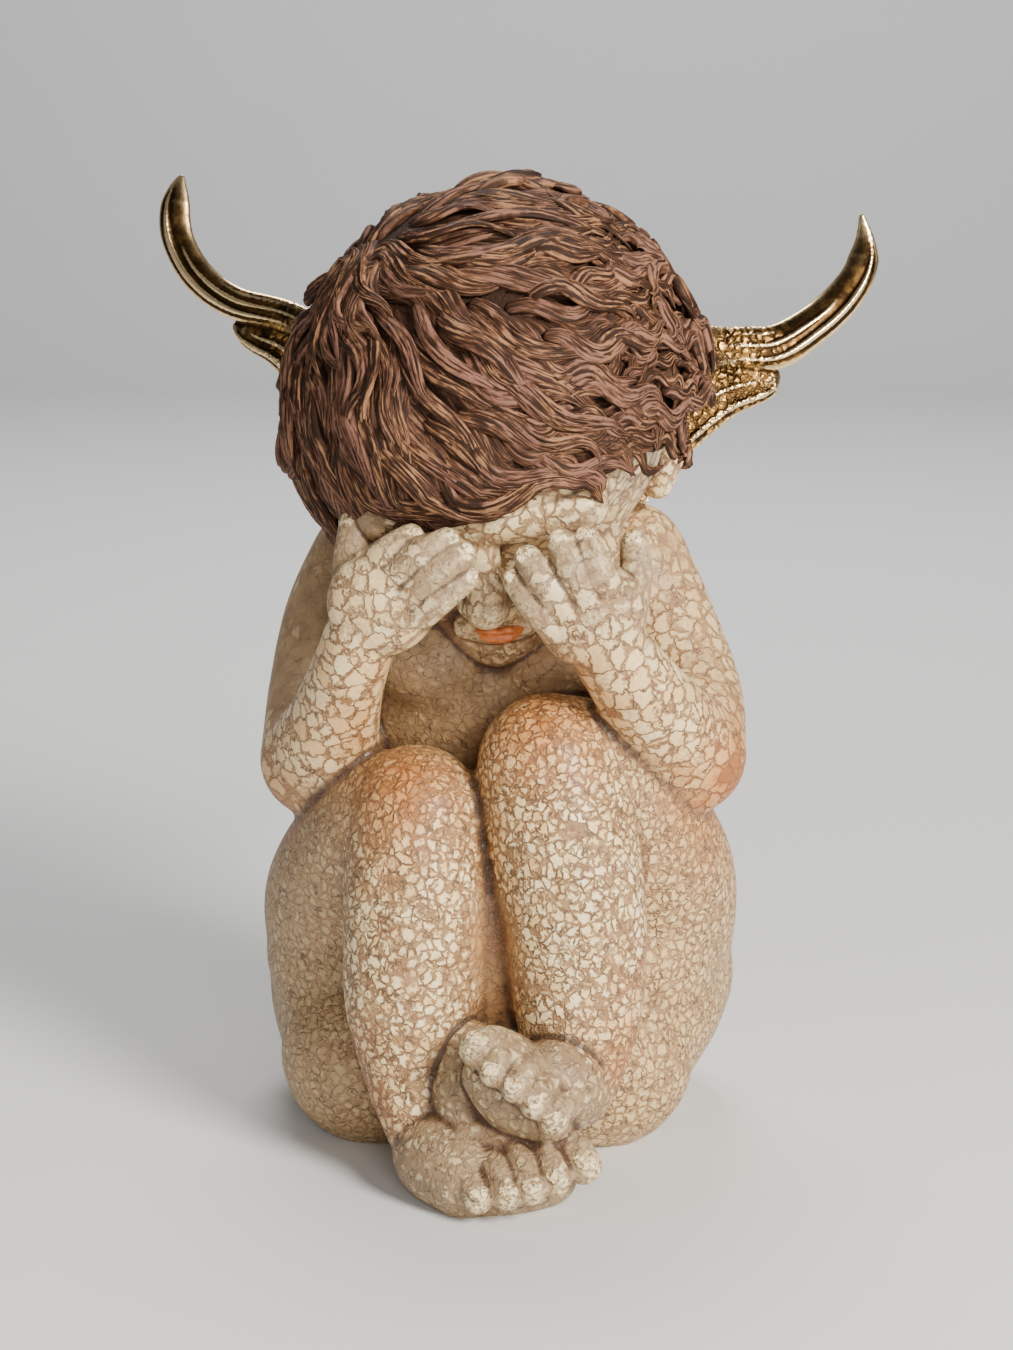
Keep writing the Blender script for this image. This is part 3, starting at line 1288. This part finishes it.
class Works:
    """The nodes of one material."""

    def __init__(self, name: str) -> None:
        """Starts a material with a Principled shader."""
        self.material = bpy.data.materials.new(name)
        self.material.use_nodes = True
        self.tree = self.material.node_tree
        self.shader = self.tree.nodes["Principled BSDF"]

    def node(self, kind: str, settings: dict, values: dict, output: object = 0) -> Flow:
        """Adds a node.

        Args:
            kind: its type, without the ShaderNode in front.
            settings: its settings, which are set first.
            values: numbers, colours or flows for its sockets, by name or number.
            output: the name or number of the output that is wanted.

        Returns:
            The output's flow.
        """
        made = self.tree.nodes.new("ShaderNode" + kind)
        for name, value in settings.items():
            setattr(made, name, value)
        for name, value in values.items():
            socket = made.inputs[name]
            if isinstance(value, Flow):
                self.tree.links.new(value.socket, socket)
            elif isinstance(value, tuple) and socket.type == "RGBA":
                socket.default_value = (*value[:3], 1.0)
            elif socket.type in ("VECTOR", "RGBA") and not isinstance(value, tuple):
                socket.default_value = (value,) * len(socket.default_value)
            else:
                socket.default_value = value
        return Flow(self, made.outputs[output])

    def places(self) -> Flow:
        """Object coordinates in millimetres."""
        return self.node("TexCoord", {}, {}, "Object") * 1000.0

    def mark(self, name: str, output: str = "Fac") -> Flow:
        """A mark of the piece's points."""
        return self.node("Attribute", {"attribute_name": name}, {}, output)

    def cloud(
        self, place: Flow, size: float, detail: float = 3.0, output: str = "Fac", rough: float = 0.5
    ) -> Flow:
        """Soft irregular variation.

        Args:
            place: where it is read.
            size: how large its forms are, in millimetres.
            detail: how many smaller forms it has.
            output: Fac or Color.
            rough: how strong the smaller forms are.

        Returns:
            The variation, about 0.5.
        """
        values = {"Vector": place, "Scale": 1 / size, "Detail": detail, "Roughness": rough}
        return self.node("TexNoise", {}, values, output)

    def cells(self, place: Flow, size: float) -> tuple[Flow, Flow]:
        """Cells of a crackle.

        Args:
            place: where they are read.
            size: how large they are, in millimetres.

        Returns:
            The distance from the cell's edge in millimetres, and a colour that is the cell's own.
        """
        values = {"Vector": place, "Scale": 1 / size}
        gap = self.node("TexVoronoi", {"feature": "DISTANCE_TO_EDGE"}, values, "Distance")
        own = self.node("TexVoronoi", {"feature": "F1"}, values, "Color")
        return gap * size, own

    def mix(self, share: object, first: object, second: object) -> Flow:
        """A colour between two.

        Args:
            share: how much of the second colour.
            first: a colour or a flow.
            second: a colour or a flow.

        Returns:
            The colour.
        """
        settings = {"data_type": "RGBA", "blend_type": "MIX", "clamp_factor": True}
        return self.node("Mix", settings, {0: share, 6: first, 7: second}, 2)

    def bump(self, height: Flow, depth: float, strength: float = 1.0) -> Flow:
        """A normal with relief.

        Args:
            height: the relief, from 0 to 1.
            depth: what 1 means, in millimetres.
            strength: how strongly it shows.

        Returns:
            The normal.
        """
        values = {"Height": height, "Distance": depth * MM, "Strength": strength}
        return self.node("Bump", {}, values, "Normal")

    def feed(self, **values: object) -> bpy.types.Material:
        """Sets the shader's sockets.

        Args:
            **values: numbers, colours or flows, under the sockets' names with _ for a space.

        Returns:
            The material.
        """
        for name, value in values.items():
            socket = self.shader.inputs[name.replace("_", " ")]
            if isinstance(value, Flow):
                self.tree.links.new(value.socket, socket)
            elif isinstance(value, tuple):
                socket.default_value = (*value, 1.0)
            else:
                socket.default_value = value
        return self.material


@dataclass(frozen=True)
class StonePaint:
    """Cream crackle paint over a beige ground, with warm blushes and umber in the creases."""

    cream: tuple[float, float, float] = (0.78, 0.50, 0.205)
    pearl: tuple[float, float, float] = (1.0, 0.81, 0.47)
    ground: tuple[float, float, float] = (0.29, 0.145, 0.058)
    pale_ground: tuple[float, float, float] = (0.53, 0.315, 0.135)
    rust: tuple[float, float, float] = (0.40, 0.175, 0.055)
    olive: tuple[float, float, float] = (0.235, 0.19, 0.12)
    umber: tuple[float, float, float] = (0.085, 0.045, 0.022)
    flush: tuple[float, float, float] = (0.88, 0.58, 0.32)
    dusky_cream: tuple[float, float, float] = (0.44, 0.40, 0.27)
    warm_cream: tuple[float, float, float] = (0.66, 0.34, 0.14)
    calm_cream: tuple[float, float, float] = (0.64, 0.425, 0.18)
    calm_dusk: tuple[float, float, float] = (0.25, 0.165, 0.085)
    hollow_brown: tuple[float, float, float] = (0.145, 0.062, 0.022)
    crease_brown: tuple[float, float, float] = (0.07, 0.032, 0.013)
    coarse_size: float = 4.4
    fine_size: float = 2.6

    def material(self) -> bpy.types.Material:
        """Makes the paint."""
        w = Works("crackled stone")
        place = w.places()
        drift = (w.cloud(place, 3.2, 2, "Color") - (0.5, 0.5, 0.5)) * 3.4
        ragged = (w.cloud(place, 1.0, 3, "Color") - (0.5, 0.5, 0.5)) * 1.9
        spot = place + drift + ragged
        wide_gap, wide_own = w.cells(spot, self.coarse_size)
        thin_gap, thin_own = w.cells(spot + (31.0, 7.0, 13.0), self.fine_size)
        patch = w.cloud(place, 13.0, 2)
        blotch = w.cloud(place, 4.5, 3)
        grain = w.cloud(place, 1.0, 4, rough=0.6)
        coarse = (w.mark("coarse") + (patch - 0.5) * 0.8).step(0.4, 0.6)
        cover = w.mark("cover")
        gap = wide_gap * coarse + thin_gap * 0.85 * (1 - coarse)
        own = w.mix(coarse, thin_own, wide_own)
        single = w.node("SeparateColor", {}, {"Color": own}, "Red")
        other = w.node("SeparateColor", {}, {"Color": own}, "Green")
        flaws = (1 - cover) * 0.8 + (grain - 0.5) * 1.6 + (blotch - 0.5) * 1.8
        island = (gap - flaws * 0.6).step(0.08, 0.5)
        blush = w.mark("blush") * (0.95 + (blotch - 0.5) * 0.9)
        lasting = cover * 1.35 + 0.25 - blush * 0.45
        kept = (lasting - single * 0.9 + (patch - 0.5) * 0.9 + (grain - 0.5) * 1.4).step(-0.1, 0.75)
        island = island * kept
        crack = 1 - gap.step(0.0, 0.28)
        dusk = w.mark("dusk")
        light = w.mark("light")
        under = w.mix(w.cloud(place, 5.0, 4, rough=0.6).step(0.3, 0.7), self.ground, self.pale_ground)
        under = w.mix(cover * 0.42, under, self.ground)
        under = w.mix(dusk * 0.7, under, self.olive)
        under = w.mix(blush * 0.5, under, self.rust)
        over = w.mix((other * 0.7 + (grain - 0.5) * 1.4) * (0.4 + light), self.cream, self.pearl)
        over = w.mix(dusk * 0.6, over, self.dusky_cream)
        over = w.mix(blush * 0.45, over, self.warm_cream)
        paint = w.mix(island * (0.55 + light * 0.45), under, over)
        net = thin_gap.step(0.0, 0.45) * (0.65 + grain * 0.7)
        soft = w.mix(net, w.mix(0.5, under, self.ground), w.mix(dusk, self.calm_cream, self.calm_dusk))
        paint = w.mix(w.mark("calm") * (1.15 - island * 0.3), paint, soft)
        paint = w.mix(blush, paint, paint * self.flush)
        speck = crack * (w.cloud(place, 1.8, 3) + (cover - 0.5) * 0.12).step(0.5, 0.66)
        paint = w.mix(speck * 0.85, paint, self.umber)
        hollow = (w.mark("hollow") * 0.8).step(0.07, 0.7)
        crease = (w.mark("crease") * 9.0).step(0.25, 0.9)
        paint = w.mix(hollow * 0.85, paint, self.hollow_brown)
        paint = w.mix(crease * 0.9, paint, self.crease_brown)
        ridge = (w.mark("crease") * -9.0).step(0.4, 1.3)
        knob = (w.mark("hollow") * -0.8).step(0.4, 1.3) * light
        paint = w.mix((ridge * 0.7).highest(knob * 0.95) * grain.step(0.4, 0.6), paint, self.pearl)
        relief = island * 0.7 - crack * 0.5 + grain * 0.35
        rough = 0.5 - island * 0.14 + grain * 0.1
        normal = w.bump(relief, 0.34, 0.9)
        return w.feed(
            Base_Color=paint, Roughness=rough, Normal=normal, Coat_Weight=0.12, Coat_Roughness=0.3
        )


@dataclass(frozen=True)
class HairPaint:
    """Brown hair with tan ridges and dark hollows."""

    dark: tuple[float, float, float] = (0.026, 0.010, 0.0045)
    brown: tuple[float, float, float] = (0.10, 0.041, 0.019)
    tan: tuple[float, float, float] = (0.37, 0.185, 0.09)
    lilac: tuple[float, float, float] = (0.255, 0.12, 0.082)

    def material(self) -> bpy.types.Material:
        """Makes the paint."""
        w = Works("hair paint")
        strand = w.mark("strand", "Vector")
        stretch = w.node("VectorMath", {"operation": "MULTIPLY"}, {0: strand, 1: (1.0, 0.09, 1.0)})
        streak = w.cloud(stretch, 0.5, 4)
        place = w.places()
        patch = w.cloud(place, 9.0, 3)
        worn = w.cloud(place, 1.6, 3)
        tone = w.mark("tone")
        crest = w.mark("crest")
        height = w.mark("height").step(-1.5, 5.0)
        line = crest * 0.6 + (streak - 0.5) * 3.2 + (tone - 0.5) * 0.3
        ridge = w.mix((patch + (tone - 0.5) * 0.3).step(0.42, 0.6), self.tan, self.lilac)
        paint = w.mix(line.step(0.05, 0.5), self.dark, self.brown)
        bright = (line + (worn - 0.5) * 0.8 + (height - 0.5) * 0.4).step(0.5, 0.95)
        paint = w.mix(bright * 0.85, paint, ridge)
        paint = w.mix((1 - height) * 0.75, paint, self.dark)
        relief = crest * 0.5 + streak * 0.9
        normal = w.bump(relief, 0.6, 0.9)
        return w.feed(Base_Color=paint, Roughness=0.6 + streak * 0.15, Specular_IOR_Level=0.2, Normal=normal)


@dataclass(frozen=True)
class LipPaint:
    """Glossy orange paint."""

    orange: tuple[float, float, float] = (0.62, 0.17, 0.035)
    deep: tuple[float, float, float] = (0.36, 0.08, 0.02)

    def material(self) -> bpy.types.Material:
        """Makes the paint."""
        w = Works("lip paint")
        patch = w.cloud(w.places(), 1.6, 4)
        paint = w.mix(patch.step(0.4, 0.7), self.orange, self.deep)
        return w.feed(Base_Color=paint, Roughness=0.34 + patch * 0.1, Normal=w.bump(patch, 0.1))


@dataclass(frozen=True)
class Gilding:
    """Antique gold leaf, bright on the ridges and dark in the hollows."""

    gold: tuple[float, float, float] = (0.90, 0.47, 0.13)
    bronze: tuple[float, float, float] = (0.20, 0.105, 0.032)
    dark: tuple[float, float, float] = (0.035, 0.018, 0.007)
    bright: tuple[float, float, float] = (1.0, 0.72, 0.38)

    def material(self) -> bpy.types.Material:
        """Makes the gilding."""
        w = Works("gilding")
        place = w.places()
        patch = w.cloud(place, 6.0, 3)
        leaf = w.cloud(place, 1.3, 4)
        fold, _ = w.cells(place + (w.cloud(place, 2.0, 2, "Color") * 2.0), 2.2)
        root = w.mark("root")
        high = (w.mark("crease") * -26.0).step(0.1, 0.8)
        low = (w.mark("crease") * 26.0).step(0.1, 0.9)
        metal = w.mix((patch + (leaf - 0.5) * 0.4).step(0.4, 0.9), self.dark, self.bronze)
        metal = w.mix(root * (fold + (patch - 0.5) * 1.2).step(0.1, 0.9), metal, self.gold)
        metal = w.mix(high * (0.55 + leaf * 0.7), metal, self.bright)
        metal = w.mix(low * 0.85, metal, self.dark)
        relief = leaf * 0.12 + root * fold.step(0.0, 0.9) * 1.0
        rough = 0.34 + (patch - 0.5) * 0.2 - high * 0.12
        return w.feed(Base_Color=metal, Metallic=1.0, Roughness=rough, Normal=w.bump(relief, 0.5, 0.8))


@dataclass
class Studio:
    """Pale floor, backdrop and soft lights."""

    reach: float = 3.2
    tone: tuple[float, float, float] = (0.80, 0.80, 0.79)

    def floor(self) -> bpy.types.Object:
        """Models the floor, which curves up into a backdrop."""
        bpy.ops.object.select_all(action="DESELECT")
        bpy.ops.mesh.primitive_plane_add(size=2 * self.reach, location=(0, 0.4, 0))
        floor = bpy.context.object
        floor.name = "floor"
        bpy.ops.object.transform_apply(location=True, rotation=True, scale=True)
        bpy.ops.object.mode_set(mode="EDIT")
        bpy.ops.mesh.select_mode(type="EDGE")
        bpy.ops.mesh.select_all(action="DESELECT")
        bpy.ops.object.mode_set(mode="OBJECT")
        for edge in floor.data.edges:
            edge.select = all(floor.data.vertices[k].co.y > 0 for k in edge.vertices)
        bpy.ops.object.mode_set(mode="EDIT")
        bpy.ops.mesh.extrude_region_move(TRANSFORM_OT_translate={"value": (0, 0, 2.4)})
        bpy.ops.object.mode_set(mode="OBJECT")
        worked(floor, "BEVEL", width=0.9, segments=12, limit_method="ANGLE")
        for face in floor.data.polygons:
            face.use_smooth = True
        w = Works("pale floor")
        shade = w.cloud(w.places(), 300.0, 2)
        tint = w.mix(shade, self.tone, tuple(0.97 * part for part in self.tone))
        floor.data.materials.append(w.feed(Base_Color=tint, Roughness=0.7))
        return floor

    def lamp(
        self, name: str, place: tuple, size: float, power: float, colour: tuple, aim: tuple = (0, 0, 0.12)
    ) -> None:
        """Adds a soft lamp.

        Args:
            name: its name.
            place: where it stands, in metres.
            size: its side, in metres.
            power: its power in watts.
            colour: its colour.
            aim: where it looks, in metres.
        """
        data = bpy.data.lights.new(name, "AREA")
        data.shape = "DISK"
        data.size = size
        data.energy = power
        data.color = colour
        lamp = bpy.data.objects.new(name, data)
        lamp.location = place
        lamp.rotation_mode = "QUATERNION"
        lamp.rotation_quaternion = (Vector(aim) - Vector(place)).to_track_quat("-Z", "Y")
        bpy.context.scene.collection.objects.link(lamp)

    def build(self) -> None:
        """Sets up floor, lamps and the pale surroundings."""
        self.floor()
        self.lamp("key", (0.8, -0.9, 0.72), 0.45, 34.0, (1.0, 0.97, 0.91))
        self.lamp("front", (0.3, -1.3, 0.36), 0.5, 6.5, (1.0, 0.98, 0.95))
        self.lamp("fill", (-1.2, -1.0, 0.5), 1.0, 0.8, (0.95, 0.97, 1.0))
        self.lamp("top", (-0.1, 0.5, 1.3), 0.6, 10.0, (1.0, 0.99, 0.97))
        self.lamp("wall", (0.0, 0.9, 1.9), 1.2, 45.0, (0.98, 0.99, 1.0), (0, 3.4, 0.9))
        world = bpy.data.worlds.new("studio")
        bpy.context.scene.world = world
        world.use_nodes = True
        world.node_tree.nodes["Background"].inputs[0].default_value = (0.86, 0.88, 0.92, 1.0)
        world.node_tree.nodes["Background"].inputs[1].default_value = 0.2


def main() -> None:
    """Builds the scene piece by piece."""
    view = View()
    view.stand()
    Studio().build()
    head = Head()
    stone = StonePaint()
    Figure(head).build(stone)
    Nails().build(stone)
    Lips(head).build(LipPaint())
    Hair(head, view).build(HairPaint())
    for name in QUILLS:
        Wing(name).build(Gilding())


if __name__ == "__main__":
    logging.basicConfig(level=logging.INFO)
    main()
